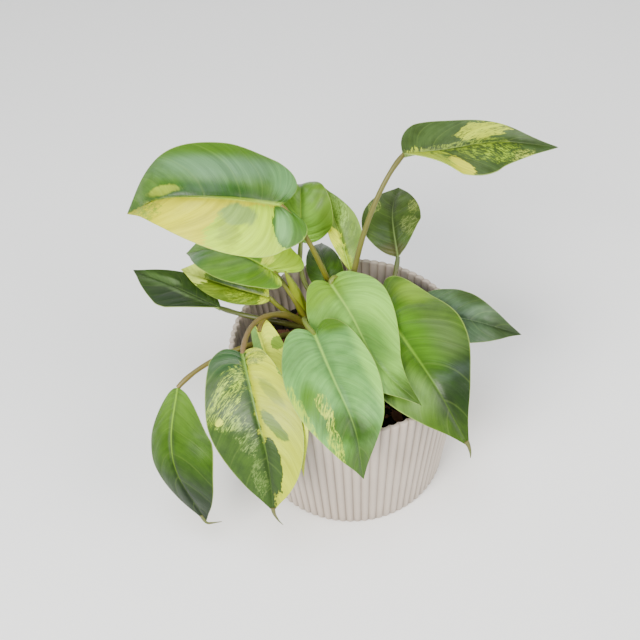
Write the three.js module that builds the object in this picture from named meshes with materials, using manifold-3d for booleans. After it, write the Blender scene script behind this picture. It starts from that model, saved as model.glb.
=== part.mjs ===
// A potted variegated philodendron: a ribbed pot, its soil, three short stems with their
// leaf stalks, sixteen heart-shaped blades, a young leaf still rolled and two leaf sheaths.
// Millimetres, +Z up. The origin is the centre of the pot's foot, and -Y is the front.
import * as THREE from "three";
import { mergeVertices } from "three/addons/utils/BufferGeometryUtils.js";
import Module from "manifold-3d";

// Clearance between two pieces that touch
const seat = 0.3;

// Pot: a row of round upright ribs forms the wall, outside and inside.
const potHeight = 105;
const rimRadius = 70;
const footRadius = 59.5;
const footChamfer = 1.5;
const wallThickness = 2.8;
const floorThickness = 5;
const ribCount = 80;
const ribRise = 0.95;
const pointsPerRib = 4;
const ribTurn = -0.046;

// Soil: its level at the wall, how far its middle stands above that, and its crumbs.
const soilLevel = 77;
const soilMound = 3;
const soilLump = 0.9;
const soilSectors = 40;
const soilRings = [0.25, 0.48, 0.68, 0.86, 1];
const soilSeed = 11;

// Bark chips: their size, how high their middle lies over the soil's level, and the
// shares of the soil's radius between which they lie.
const chipCount = 18;
const chipLength = [5, 10];
const chipWidthShare = 0.55;
const chipThickness = 2.2;
const chipRise = 1.5;
const chipReach = [0.12, 0.88];

// Stems: where each stands in the soil, the height of its top and how thick it is. The foot
// and the top are narrower by the shares given, each over a short slope.
const stemFoot = 55;
const stemFootShare = 0.8;
const stemFootSlope = 3;
const stemTopShare = 0.7;
const stemTopSlope = 3;
const stemSides = 14;
const stems = {
  left: { at: [-21, 23], top: 97, radius: 6.5 },
  back: { at: [3, 33], top: 98, radius: 6 },
  right: { at: [12, 9], top: 97, radius: 6 },
};
const stalkStart = 90;
const stalkSides = 7;
const stalkSteps = 12;
const stalkRootRadius = 2.4;
const stalkTopRadius = 1.3;
const stalkEndGap = 0.5;

// Half of a blade's outline, from the notch at the stalk round the lobe to the tip: the
// share of the length along the midrib, the share of the half width, and the share of the
// midrib where the side vein that ends at that point starts.
const halfOutline = [
  [0, 0, 0],
  [-0.07, 0.14, 0.02],
  [-0.12, 0.34, 0.035],
  [-0.1, 0.57, 0.055],
  [-0.01, 0.77, 0.09],
  [0.13, 0.92, 0.15],
  [0.29, 0.99, 0.24],
  [0.46, 0.94, 0.37],
  [0.63, 0.75, 0.52],
  [0.78, 0.47, 0.69],
  [0.9, 0.19, 0.85],
  [1, 0, 1],
];
// Where the blade is widest, and how far a blade without lobes slants up to there
const widestShare = 0.28;
const taperedBase = 0.28;
const bladeRows = 13;
const bladeColumns = [0, 0.12, 0.56, 1];
const bladeThickness = 0.8;
const keelDepth = 1.2;
const waveCount = 1.6;

// Each leaf: its stem, the two points that bend its stalk, the points of its midrib from
// the stalk to the tip, and the way its upper side faces at the stalk and at the tip. Then,
// for its left and right half seen from the stalk: the width, how full the lobe is from 0 for
// a tapered base to 1 for the outline's, the belly, the angle up from flat at the midrib, how
// much the half turns towards the edge, and the rise of the wavy edge. A half with a belly
// above 0 is widest nearer the tip.
const leaves = {
  upper_left: {
    stem: "back", bend: [[-12, 34, 118], [-14, 35, 152]],
    midrib: [[-33, 48, 169], [-62, 42, 181], [-98, 46, 181], [-124, 59, 161]],
    face: [-0.1, -0.49, 0.87], tipFace: [-0.27, -0.48, 0.84],
    width: [34, 37], lobe: [1.1, 0.9], belly: [-0.12, 0.11],
    fold: [10, 6], turn: [-24, -30], wave: [0.8, 0.7],
  },
  upper_middle: {
    stem: "back", bend: [[-16, 36, 98], [-30, 46, 102]],
    midrib: [[-24, 66, 124], [-23, 66, 144], [-22, 77, 158], [-22, 96, 146]],
    face: [-0.05, -0.9, 0.4], tipFace: [0, 0.3, 0.95],
    width: [13, 20], lobe: [0.4, 0.4], belly: [0, 0],
    fold: [12, 12], turn: [-23, -25], wave: [0, 0],
  },
  upper_slim: {
    stem: "back", bend: [[4, 36, 100], [5, 44, 106]],
    midrib: [[5, 51, 112], [0, 68, 128], [-4, 79, 138], [-8, 91, 147]],
    face: [0.01, -0.6, 0.8], tipFace: [0, -0.5, 0.86],
    width: [7, 14], lobe: [0.2, 0.3], belly: [0.03, 0.01],
    fold: [17, 20], turn: [-20, -20], wave: [0, 0],
  },
  upper_right: {
    stem: "back", bend: [[4, 40, 125], [20, 46, 180]],
    midrib: [[38, 62, 189], [62, 68, 186], [94, 72, 186], [126, 62, 186]],
    face: [0.05, 0.34, 0.94], tipFace: [-0.09, -0.61, 0.79],
    width: [19, 33], lobe: [0.4, 0.4], belly: [-0.12, -0.02],
    fold: [40, 14], turn: [-22, -12], wave: [0.6, 0.5],
  },
  back_round: {
    stem: "right", bend: [[18, 16, 100], [31, 38, 100]],
    midrib: [[35, 54, 118], [34, 75, 127], [36, 92, 129], [41, 109, 128]],
    face: [-0.08, -0.5, 0.86], tipFace: [0.02, 0.29, 0.96],
    width: [20, 18], lobe: [0.3, 0.2], belly: [0.06, 0.14],
    fold: [7, 10], turn: [-23, -19], wave: [0, 0],
  },
  inner_dark: {
    stem: "back", bend: [[0, 35, 97], [-7, 38, 99]],
    midrib: [[-7, 46, 102], [-10, 60, 107], [-12, 76, 107], [-11, 93, 99]],
    face: [0, -0.5, 0.86], tipFace: [0, -0.3, 0.95],
    width: [12, 11], lobe: [0.7, 0.7], belly: [0, 0],
    fold: [12, 12], turn: [-25, -25], wave: [0, 0],
  },
  centre: {
    stem: "back", bend: [[2, 34, 118], [-6, 30, 134]],
    midrib: [[-8, 25, 127], [2, -3, 129], [14, -38, 126], [35, -63, 118]],
    face: [-0.05, -0.58, 0.81], tipFace: [0.25, -0.24, 0.94],
    width: [28, 24], lobe: [0.7, 0.9], belly: [-0.09, -0.01],
    fold: [-9, -7], turn: [-17, -9], wave: [1.1, 1.1],
  },
  front: {
    stem: "left", bend: [[-24, 18, 110], [-28, 2, 124]],
    midrib: [[-19, -17, 129], [-11, -50, 132], [-1, -77, 120], [2, -89, 92]],
    face: [0, -0.52, 0.86], tipFace: [0.43, -0.54, 0.72],
    width: [26, 26], lobe: [0.9, 0.9], belly: [-0.01, 0.04],
    fold: [-1, 2], turn: [-19, -23], wave: [0, 0],
  },
  right_broad: {
    stem: "right", bend: [[13, 8, 112], [16, 6, 128]],
    midrib: [[22, 8, 119], [33, -21, 119], [45, -49, 115], [61, -70, 88]],
    face: [0.36, -0.4, 0.84], tipFace: [0.08, -0.63, 0.77],
    width: [36, 36], lobe: [1.5, 0.9], belly: [-0.07, 0.01],
    fold: [14, 1], turn: [-12, -3], wave: [1.5, 0],
  },
  right_dark: {
    stem: "right", bend: [[20, 14, 102], [34, 22, 110]],
    midrib: [[45, 20, 110], [61, 9, 110], [79, 2, 109], [104, 4, 94]],
    face: [0.19, -0.26, 0.95], tipFace: [0.42, -0.48, 0.77],
    width: [19, 19], lobe: [0.5, 0.6], belly: [-0.01, 0],
    fold: [13, 14], turn: [-22, -23], wave: [0.1, 0],
  },
  left_dark: {
    stem: "left", bend: [[-36, 16, 106], [-55, 12, 114]],
    midrib: [[-75, 30, 108], [-97, 47, 107], [-110, 57, 106], [-133, 73, 104]],
    face: [-0.14, 0.12, 0.98], tipFace: [-0.31, -0.31, 0.9],
    width: [20, 12], lobe: [0.2, 0.2], belly: [0.08, 0.05],
    fold: [27, 13], turn: [-22, -23], wave: [0, 0],
  },
  left_green: {
    stem: "left", bend: [[-27, 25, 108], [-33, 27, 124]],
    midrib: [[-41, 36, 129], [-57, 48, 131], [-79, 64, 126], [-99, 82, 107]],
    face: [0.06, -0.2, 0.98], tipFace: [-0.2, -0.47, 0.86],
    width: [23, 25], lobe: [1.1, 1.2], belly: [0.01, 0],
    fold: [27, 6], turn: [-28, -28], wave: [0, 0],
  },
  left_yellow: {
    stem: "left", bend: [[-30, 26, 98], [-39, 27, 106]],
    midrib: [[-45, 29, 115], [-66, 38, 116], [-84, 50, 114], [-101, 64, 110]],
    face: [-0.09, -0.18, 0.98], tipFace: [-0.19, -0.49, 0.85],
    width: [11, 22], lobe: [0.5, 0.2], belly: [0.01, 0.01],
    fold: [13, 12], turn: [-19, -25], wave: [0, 0],
  },
  front_left: {
    stem: "left", bend: [[-32, 20, 112], [-57, 14, 126]],
    midrib: [[-59, -27, 128], [-53, -56, 111], [-49, -72, 92], [-48, -88, 65]],
    face: [-0.28, -0.42, 0.87], tipFace: [-0.36, -0.89, 0.29],
    width: [24, 30], lobe: [0.5, 0.7], belly: [0.13, 0.1],
    fold: [-1, 12], turn: [-4, -17], wave: [0.7, 0.8],
  },
  front_hidden: {
    stem: "left", bend: [[-30, 20, 112], [-50, 18, 118]],
    midrib: [[-51, 3, 113], [-44, -25, 110], [-33, -61, 110], [-30, -76, 79]],
    face: [0, -0.2, 0.97], tipFace: [-0.3, -0.8, 0.3],
    width: [12, 7], lobe: [0.8, 0.8], belly: [0, 0],
    fold: [7, 0], turn: [-8, -8], wave: [0, 0],
  },
  far_left: {
    stem: "left", bend: [[-42, 8, 102], [-78, -13, 118]],
    midrib: [[-99, -26, 102], [-104, -48, 85], [-102, -62, 66], [-91, -68, 27]],
    face: [-0.51, -0.19, 0.84], tipFace: [-0.36, -0.89, 0.26],
    width: [27, 19], lobe: [0.3, 0.3], belly: [0.12, 0.11],
    fold: [6, 1], turn: [-29, -28], wave: [0.5, 0.2],
  },
};

// The young leaf still rolled, the dry sheath and the green sheath: each stands in the top
// of its stem and tapers along a curve. The radius is given at the foot, middle and tip.
const shoots = {
  rolled_leaf: {
    stem: "left", path: [[-24, 27, 94], [-26, 29, 110], [-34, 30, 134]],
    radius: [2.6, 3.4, 0.5],
  },
  dry_sheath: {
    stem: "left", path: [[-16, 22, 94], [-17, 21, 102], [-21, 20, 111]],
    radius: [2.4, 2.6, 0.5],
  },
  green_sheath: {
    stem: "back", path: [[1, 30, 94], [-3, 29, 106], [-9, 29, 120]],
    radius: [2.2, 2.6, 0.5],
  },
};
const shootSides = 8;
const shootSteps = 8;

const colors = {
  pot: 0xb9aa9c,
  soil: 0x2a1d15,
  stalk: 0x9a9a55,
  leafGreen: 0x4f7a2e,
  leafDark: 0x33562b,
  leafLight: 0x7fa061,
  leafYellow: 0xc9c552,
  sheath: 0xcdbb8e,
};
const bladeColors = {
  upper_left: "leafYellow",
  upper_middle: "leafGreen",
  upper_slim: "leafYellow",
  upper_right: "leafYellow",
  back_round: "leafDark",
  inner_dark: "leafDark",
  centre: "leafLight",
  front: "leafLight",
  right_broad: "leafGreen",
  right_dark: "leafDark",
  left_dark: "leafDark",
  left_green: "leafGreen",
  left_yellow: "leafYellow",
  front_left: "leafYellow",
  front_hidden: "leafYellow",
  far_left: "leafGreen",
};

const wasm = await Module();
wasm.setup();

function solidOf(geometry) {
  const bare = geometry.clone();
  bare.deleteAttribute("normal");
  bare.deleteAttribute("uv");
  const merged = mergeVertices(bare, 0.0001);
  const mesh = new wasm.Mesh({
    numProp: 3,
    vertProperties: new Float32Array(merged.attributes.position.array),
    triVerts: new Uint32Array(merged.index.array),
  });
  return new wasm.Manifold(mesh);
}

function geometryOf(solid) {
  const mesh = solid.getMesh();
  const geometry = new THREE.BufferGeometry();
  geometry.setAttribute("position", new THREE.BufferAttribute(mesh.vertProperties, 3));
  geometry.setIndex(new THREE.BufferAttribute(mesh.triVerts, 1));
  geometry.computeVertexNormals();
  return geometry;
}

function largestPart(solid) {
  const parts = solid.decompose();
  parts.sort((a, b) => b.volume() - a.volume());
  return parts[0];
}

function indexed(points, faces) {
  const geometry = new THREE.BufferGeometry();
  geometry.setFromPoints(points);
  geometry.setIndex(faces.flat());
  geometry.computeVertexNormals();
  return geometry;
}

// A repeatable stream of numbers between 0 and 1
function randomStream(seed) {
  let state = seed;
  return () => {
    state = (state * 1103515245 + 12345) % 2147483648;
    return state / 2147483648;
  };
}

// Closed solid from a stack of rings with equally many points, each end closed to a centre
// point. Seen from outside, each ring runs anticlockwise about the way from first to last.
function ringSolid(first, rings, last) {
  const points = [first, ...rings.flat(), last];
  const count = rings[0].length;
  const faces = [];
  for (let i = 0; i < count; i += 1) {
    const next = (i + 1) % count;
    faces.push([0, 1 + next, 1 + i]);
    for (let ring = 0; ring + 1 < rings.length; ring += 1) {
      const low = 1 + ring * count;
      const high = low + count;
      faces.push([low + i, low + next, high + next]);
      faces.push([low + i, high + next, high + i]);
    }
    const top = 1 + (rings.length - 1) * count;
    faces.push([points.length - 1, top + i, top + next]);
  }
  return indexed(points, faces);
}

function circlePoints(centre, radius, z, sides) {
  const points = [];
  for (let i = 0; i < sides; i += 1) {
    const angle = (2 * Math.PI * i) / sides;
    const x = centre[0] + radius * Math.cos(angle);
    points.push(new THREE.Vector3(x, centre[1] + radius * Math.sin(angle), z));
  }
  return points;
}

function wallRadius(z) {
  return footRadius + ((rimRadius - footRadius) * z) / potHeight - ribRise;
}

function ribbedRing(z, inset) {
  const count = ribCount * pointsPerRib;
  const points = [];
  for (let i = 0; i < count; i += 1) {
    const share = i / pointsPerRib;
    const angle = (2 * Math.PI * share) / ribCount - Math.PI / 2 + ribTurn;
    const radius = wallRadius(z) - inset + ribRise * Math.abs(Math.sin(Math.PI * share));
    points.push(new THREE.Vector3(radius * Math.cos(angle), radius * Math.sin(angle), z));
  }
  return points;
}

function potGeometry() {
  const rings = [
    ribbedRing(0, footChamfer),
    ribbedRing(footChamfer, 0),
    ribbedRing(potHeight, 0),
    ribbedRing(potHeight, wallThickness),
    ribbedRing(floorThickness, wallThickness),
  ];
  return ringSolid(new THREE.Vector3(0, 0, 0), rings, new THREE.Vector3(0, 0, floorThickness));
}

function soilRadius(z) {
  return wallRadius(z) - wallThickness - seat;
}

// Bark chips half sunk in the soil, clear of the stems
function chipSolids(random) {
  const chips = [];
  while (chips.length < chipCount) {
    const angle = 2 * Math.PI * random();
    const share = THREE.MathUtils.lerp(...chipReach, Math.sqrt(random()));
    const reach = soilRadius(soilLevel) * share;
    const spot = new THREE.Vector3(reach * Math.cos(angle), reach * Math.sin(angle), soilLevel + chipRise);
    const length = THREE.MathUtils.lerp(...chipLength, random());
    const chip = new THREE.BoxGeometry(length, length * chipWidthShare, chipThickness);
    chip.rotateX(random() - 0.5);
    chip.rotateZ(2 * Math.PI * random());
    chip.translate(spot.x, spot.y, spot.z);
    const clear = Object.values(stems).every(
      (stem) => Math.hypot(spot.x - stem.at[0], spot.y - stem.at[1]) > stem.radius + length,
    );
    if (clear) chips.push(solidOf(chip));
  }
  return chips;
}

function stemHole(stem) {
  const radius = stem.radius + seat;
  const low = stemFoot - seat;
  const high = stem.top + seat;
  const rings = [
    circlePoints(stem.at, radius, low, stemSides),
    circlePoints(stem.at, radius, high, stemSides),
  ];
  const foot = new THREE.Vector3(stem.at[0], stem.at[1], low);
  return solidOf(ringSolid(foot, rings, new THREE.Vector3(stem.at[0], stem.at[1], high)));
}

function soilGeometry() {
  const random = randomStream(soilSeed);
  const low = floorThickness + seat;
  const rings = [circlePoints([0, 0], soilRadius(low), low, soilSectors)];
  rings.push(circlePoints([0, 0], soilRadius(soilLevel), soilLevel, soilSectors));
  for (const share of [...soilRings].reverse().slice(1)) {
    const level = soilLevel + soilMound * (1 - share * share);
    const ring = circlePoints([0, 0], soilRadius(soilLevel) * share, level, soilSectors);
    ring.forEach((point) => { point.z += soilLump * (2 * random() - 1); });
    rings.push(ring);
  }
  const middle = new THREE.Vector3(0, 0, soilLevel + soilMound);
  let soil = solidOf(ringSolid(new THREE.Vector3(0, 0, low), rings, middle));
  for (const chip of chipSolids(random)) soil = soil.add(chip);
  for (const stem of Object.values(stems)) soil = soil.subtract(stemHole(stem));
  return geometryOf(largestPart(soil));
}

// Round tube along a curve, its radius given by the share of the length from 0 to 1
function tubeGeometry(curve, radiusAt, sides, steps) {
  const frames = curve.computeFrenetFrames(steps, false);
  const rings = [];
  for (let step = 0; step <= steps; step += 1) {
    const share = step / steps;
    const centre = curve.getPointAt(share);
    const radius = radiusAt(share);
    const ring = [];
    for (let side = 0; side < sides; side += 1) {
      const angle = (2 * Math.PI * side) / sides;
      const point = centre.clone();
      point.addScaledVector(frames.normals[step], radius * Math.cos(angle));
      point.addScaledVector(frames.binormals[step], radius * Math.sin(angle));
      ring.push(point);
    }
    rings.push(ring);
  }
  return ringSolid(curve.getPointAt(0), rings, curve.getPointAt(1));
}

function vectorsOf(list) {
  return list.map((item) => new THREE.Vector3(...item));
}

// A smooth curve through the points, passed at an even pace
function curveThrough(points) {
  return new THREE.CatmullRomCurve3(vectorsOf(points), false, "catmullrom", 0.5);
}

const outlineCurve = curveThrough(halfOutline);

// The midrib's place, direction and upper side at a share of its length. The lobes reach
// behind the stalk, where the share is below zero.
function midribFrame(leaf, share) {
  const curve = curveThrough(leaf.midrib);
  const held = THREE.MathUtils.clamp(share, 0, 1);
  const along = curve.getTangent(held).normalize();
  let length = 0;
  for (let i = 1; i < leaf.midrib.length; i += 1) {
    length += curve.points[i].distanceTo(curve.points[i - 1]);
  }
  const point = curve.getPoint(held).addScaledVector(along, (share - held) * length);
  const up = new THREE.Vector3(...leaf.face).lerp(new THREE.Vector3(...leaf.tipFace), held);
  up.addScaledVector(along, -up.dot(along)).normalize();
  return { point, along, up, right: new THREE.Vector3().crossVectors(along, up) };
}

// A share along the midrib, moved towards the tip by the belly
function bellied(share, belly) {
  return share > 0 ? share + 4 * belly * share * (1 - share) : share;
}

// A point of the blade's upper side and the direction away from that side. The outline
// share runs from stalk to tip, and across runs from the midrib to the edge.
function bladePoint(leaf, side, share, across) {
  const edge = outlineCurve.getPoint(share);
  const tapered = taperedBase * edge.y;
  const lobed = edge.x < widestShare;
  const full = lobed ? THREE.MathUtils.lerp(tapered, edge.x, leaf.lobe[side]) : edge.x;
  const reach = bellied(full, leaf.belly[side]);
  const veinStart = bellied(edge.z, leaf.belly[side]);
  const along = veinStart + (reach - veinStart) * across;
  const out = edge.y * across;
  const frame = midribFrame(leaf, along);
  const fold = THREE.MathUtils.degToRad(leaf.fold[side]);
  const turn = THREE.MathUtils.degToRad(leaf.turn[side]);
  const width = leaf.width[side];
  const angle = fold + turn * out;
  const sideways = (width * (Math.sin(angle) - Math.sin(fold))) / turn;
  const wave = leaf.wave[side] * out * out * Math.sin(2 * Math.PI * waveCount * along);
  const rise = (width * (Math.cos(fold) - Math.cos(angle))) / turn + wave;
  const sign = side === 0 ? -1 : 1;
  const point = frame.point.clone();
  point.addScaledVector(frame.right, sign * sideways).addScaledVector(frame.up, rise);
  const up = frame.up.clone();
  if (across > 0) {
    up.multiplyScalar(Math.cos(angle)).addScaledVector(frame.right, -sign * Math.sin(angle));
  }
  return { point, up };
}

// A closed blade. Spare adds a clearance all round it, for cutting the stalk to fit.
function bladeGeometry(leaf, spare) {
  const columns = bladeColumns.length - 1;
  const points = [];
  const faces = [];
  const vertexAt = new Map();
  const sheets = ["upper", "lower"];
  for (const sheet of sheets) {
    for (let side = 0; side < 2; side += 1) {
      for (let row = 0; row <= bladeRows; row += 1) {
        for (let column = 0; column <= columns; column += 1) {
          const end = row === 0 || row === bladeRows;
          if ((end && column > 0) || (side === 1 && column === 0)) continue;
          const share = row / bladeRows;
          const spot = bladePoint(leaf, side, share, end ? 0 : bladeColumns[column]);
          const keel = column === 0 ? keelDepth * (1 - share) : 0;
          const lift = sheet === "upper" ? spare : -bladeThickness - keel - spare;
          const outward = new THREE.Vector3();
          if (row === 0) outward.copy(midribFrame(leaf, 0).along).negate();
          if (row === bladeRows) outward.copy(midribFrame(leaf, 1).along);
          if (column === columns && !end) {
            outward.subVectors(spot.point, bladePoint(leaf, side, share, 0).point);
          }
          const point = spot.point.addScaledVector(spot.up, lift);
          point.addScaledVector(outward.normalize(), spare);
          vertexAt.set(`${sheet} ${side} ${row} ${column}`, points.length);
          points.push(point);
        }
      }
    }
  }
  const find = (sheet, side, row, column) => {
    const end = row === 0 || row === bladeRows;
    const held = end ? 0 : column;
    return vertexAt.get(`${sheet} ${held === 0 ? 0 : side} ${row} ${held}`);
  };
  const addFace = (a, b, c, flip) => {
    if (a === b || b === c || a === c) return;
    faces.push(flip ? [a, c, b] : [a, b, c]);
  };
  for (let side = 0; side < 2; side += 1) {
    for (let row = 0; row < bladeRows; row += 1) {
      for (let column = 0; column < columns; column += 1) {
        for (const sheet of sheets) {
          const flip = (side === 0) !== (sheet === "lower");
          const a = find(sheet, side, row, column);
          const b = find(sheet, side, row, column + 1);
          const c = find(sheet, side, row + 1, column + 1);
          const d = find(sheet, side, row + 1, column);
          addFace(a, b, c, flip);
          addFace(a, c, d, flip);
        }
      }
      const upperA = find("upper", side, row, columns);
      const upperB = find("upper", side, row + 1, columns);
      const lowerA = find("lower", side, row, columns);
      const lowerB = find("lower", side, row + 1, columns);
      addFace(upperA, lowerA, lowerB, side === 0);
      addFace(upperA, lowerB, upperB, side === 0);
    }
  }
  return indexed(points, faces);
}

function stalkSolid(leaf) {
  const stem = stems[leaf.stem];
  const root = new THREE.Vector3(stem.at[0], stem.at[1], stalkStart);
  const frame = midribFrame(leaf, 0);
  const joint = frame.point.clone().addScaledVector(frame.up, -bladeThickness);
  const [lowBend, highBend] = vectorsOf(leaf.bend);
  const curve = new THREE.CubicBezierCurve3(root, lowBend, highBend, joint);
  const radiusAt = (share) => {
    return THREE.MathUtils.lerp(stalkRootRadius, stalkTopRadius, Math.sqrt(share));
  };
  return solidOf(tubeGeometry(curve, radiusAt, stalkSides, stalkSteps));
}

function shootGeometry(shoot, spare) {
  const points = vectorsOf(shoot.path);
  points[0].z -= spare;
  const curve = new THREE.QuadraticBezierCurve3(...points);
  const [foot, middle, tip] = shoot.radius;
  const radiusAt = (share) => {
    const bulge = 4 * share * (1 - share);
    return THREE.MathUtils.lerp(foot, tip, share) + (middle - (foot + tip) / 2) * bulge + spare;
  };
  return tubeGeometry(curve, radiusAt, shootSides, shootSteps);
}

// A stem with the stalks that grow from it, cut clear of their own blades and of the shoots
function stemGeometry(name) {
  const stem = stems[name];
  const rings = [
    circlePoints(stem.at, stem.radius * stemFootShare, stemFoot, stemSides),
    circlePoints(stem.at, stem.radius, stemFoot + stemFootSlope, stemSides),
    circlePoints(stem.at, stem.radius, stem.top - stemTopSlope, stemSides),
    circlePoints(stem.at, stem.radius * stemTopShare, stem.top, stemSides),
  ];
  const foot = new THREE.Vector3(stem.at[0], stem.at[1], stemFoot);
  const crown = new THREE.Vector3(stem.at[0], stem.at[1], stem.top);
  let solid = solidOf(ringSolid(foot, rings, crown));
  for (const leaf of Object.values(leaves)) {
    if (leaf.stem !== name) continue;
    const blade = solidOf(bladeGeometry(leaf, stalkEndGap));
    solid = solid.add(largestPart(stalkSolid(leaf).subtract(blade)));
  }
  for (const shoot of Object.values(shoots)) {
    if (shoot.stem === name) solid = solid.subtract(solidOf(shootGeometry(shoot, seat)));
  }
  return geometryOf(largestPart(solid));
}

function addPiece(group, name, geometry, colorName, roughness) {
  const material = new THREE.MeshStandardMaterial({ color: colors[colorName], roughness, metalness: 0 });
  const mesh = new THREE.Mesh(geometry, material);
  mesh.name = name;
  group.add(mesh);
}

const plant = new THREE.Group();
addPiece(plant, "pot", potGeometry(), "pot", 0.55);
addPiece(plant, "soil", soilGeometry(), "soil", 0.95);
for (const name of Object.keys(stems)) {
  addPiece(plant, `stem_${name}`, stemGeometry(name), "stalk", 0.5);
}
for (const [name, leaf] of Object.entries(leaves)) {
  addPiece(plant, `blade_${name}`, bladeGeometry(leaf, 0), bladeColors[name], 0.4);
}
addPiece(plant, "rolled_leaf", shootGeometry(shoots.rolled_leaf, 0), "leafYellow", 0.45);
addPiece(plant, "dry_sheath", shootGeometry(shoots.dry_sheath, 0), "sheath", 0.8);
addPiece(plant, "green_sheath", shootGeometry(shoots.green_sheath, 0), "leafYellow", 0.5);

export default plant;
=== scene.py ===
import math
import random

import bmesh
import bpy
from mathutils import Matrix, Vector, noise


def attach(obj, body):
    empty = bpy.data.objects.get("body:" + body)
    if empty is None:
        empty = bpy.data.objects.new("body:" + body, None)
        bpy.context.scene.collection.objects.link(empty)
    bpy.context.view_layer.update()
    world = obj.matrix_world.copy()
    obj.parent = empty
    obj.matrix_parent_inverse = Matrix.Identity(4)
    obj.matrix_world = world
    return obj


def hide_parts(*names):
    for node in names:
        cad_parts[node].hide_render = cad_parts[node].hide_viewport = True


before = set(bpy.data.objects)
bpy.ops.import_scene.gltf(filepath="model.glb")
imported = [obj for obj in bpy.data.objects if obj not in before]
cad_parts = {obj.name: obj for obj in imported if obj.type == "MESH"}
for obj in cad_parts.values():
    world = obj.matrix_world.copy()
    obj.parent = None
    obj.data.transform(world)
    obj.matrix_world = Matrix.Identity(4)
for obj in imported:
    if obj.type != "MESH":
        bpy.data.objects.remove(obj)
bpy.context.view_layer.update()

mm = 0.001  # lengths in the dictionaries are millimetres, meshes are made in metres


# Shared helpers
def linear(hexColour):
    channels = [int(hexColour[i:i + 2], 16) / 255 for i in (0, 2, 4)]
    return [c / 12.92 if c <= 0.04045 else ((c + 0.055) / 1.055) ** 2.4 for c in channels] + [1.0]


# The scale at which a noise's features are about this many millimetres across
def noiseScale(size):
    return 1 / (size * mm)


# Sets a node's inputs: a node given as a value stands for its first output
def setInputs(node, inputs):
    for key, value in inputs.items():
        if isinstance(value, bpy.types.Node):
            value = value.outputs[0]
        if isinstance(value, bpy.types.NodeSocket):
            node.id_data.links.new(value, node.inputs[key])
        else:
            node.inputs[key].default_value = value


def addNode(tree, kind, inputs=None, **settings):
    node = tree.nodes.new(kind)
    for name, value in settings.items():
        setattr(node, name, value)
    setInputs(node, inputs or {})
    return node


def newMaterial(name, **constants):
    material = bpy.data.materials.new(name)
    material.use_nodes = True
    shader = material.node_tree.nodes["Principled BSDF"]
    setInputs(shader, {key.replace("_", " "): value for key, value in constants.items()})
    return material, material.node_tree, shader


def newPiece(name, points, faces, material, sharpAngle=50):
    mesh = bpy.data.meshes.new(name)
    mesh.from_pydata([Vector(point) * mm for point in points], [], faces)
    mesh.validate()
    mesh.polygons.foreach_set("use_smooth", [True] * len(mesh.polygons))
    mesh.set_sharp_from_angle(angle=math.radians(sharpAngle))
    mesh.materials.append(material)
    piece = bpy.data.objects.new(name, mesh)
    bpy.context.scene.collection.objects.link(piece)
    return piece


def placePiece(piece, slotName, *nodes):
    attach(piece, "root")
    if nodes:
        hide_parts(*nodes)


def giveMap(piece, name, values):
    layer = piece.data.uv_layers.new(name=name)
    flat = []
    for loop in piece.data.loops:
        flat.extend(values[loop.vertex_index])
    layer.data.foreach_set("uv", flat)


def giveValues(piece, name, values):
    piece.data.attributes.new(name, "FLOAT", "POINT").data.foreach_set("value", values)


def turnAngles(count):
    return [2 * math.pi * i / count for i in range(count)]


# A closed skin over rings of equally many points, with a centre point at each end
def stackRings(rings, first, last):
    count = len(rings[0])
    points = [first] + [point for ring in rings for point in ring] + [last]
    faces = []
    for i in range(count):
        after = (i + 1) % count
        faces.append((0, 1 + after, 1 + i))
        for ring in range(len(rings) - 1):
            low = 1 + ring * count
            faces.append((low + i, low + after, low + count + after, low + count + i))
        top = 1 + (len(rings) - 1) * count
        faces.append((len(points) - 1, top + i, top + after))
    return points, faces


# Camera: the photograph's viewpoint, worked out from the ellipse of the pot's rim
viewpoint = {
    "aim": (0, 0, 127),
    "distance": 510,
    "slide": (15.2, 4.3),   # how far the aim lies right of and above the picture's middle
    "down": 46.2,           # degrees below the horizon
    "roll": -3.8,
    "lens": 50.6,
}


def placeCamera():
    down = math.radians(viewpoint["down"])
    roll = math.radians(viewpoint["roll"])
    level = Vector((1, 0, 0))
    forward = Vector((0, math.cos(down), -math.sin(down)))
    rise = level.cross(forward)
    right = level * math.cos(roll) + rise * math.sin(roll)
    up = rise * math.cos(roll) - level * math.sin(roll)
    spot = Vector(viewpoint["aim"]) - forward * viewpoint["distance"]
    spot -= right * viewpoint["slide"][0] + up * viewpoint["slide"][1]
    camera = bpy.data.objects.new("camera", bpy.data.cameras.new("camera"))
    camera.data.lens = viewpoint["lens"]
    camera.data.clip_start = 0.01
    turned = Matrix((right, up, -forward)).transposed().to_4x4()
    camera.matrix_world = Matrix.Translation(spot * mm) @ turned
    bpy.context.scene.collection.objects.link(camera)
    bpy.context.scene.camera = camera


placeCamera()
print("camera placed")


# Pot: upright half-round ribs inside and outside, with an eased lip
pot = {
    "height": 105, "rimRadius": 70, "footRadius": 59.5, "footChamfer": 1.5,
    "wall": 2.8, "floor": 5, "lip": 0.9, "lipSteps": 4,
    "ribs": 80, "ribRise": 0.95, "ribTurn": -0.046, "stepsPerRib": 12,
    "bands": 14,            # rings between foot and lip, for even shading
    # the groove colour is painted shade for the grooves between the ribs
    "colour": "b3a597", "grooveShadeColour": "7f7163", "scuffColour": "c4b8aa",
}


def wallRadius(z):
    slope = (pot["rimRadius"] - pot["footRadius"]) / pot["height"]
    return pot["footRadius"] + slope * z - pot["ribRise"]


def ribbedRing(z, inset):
    points = []
    for i in range(pot["ribs"] * pot["stepsPerRib"]):
        share = i / pot["stepsPerRib"]
        angle = 2 * math.pi * share / pot["ribs"] - math.pi / 2 + pot["ribTurn"]
        radius = wallRadius(z) - inset + pot["ribRise"] * abs(math.sin(math.pi * share))
        points.append(Vector((radius * math.cos(angle), radius * math.sin(angle), z)))
    return points
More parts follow.
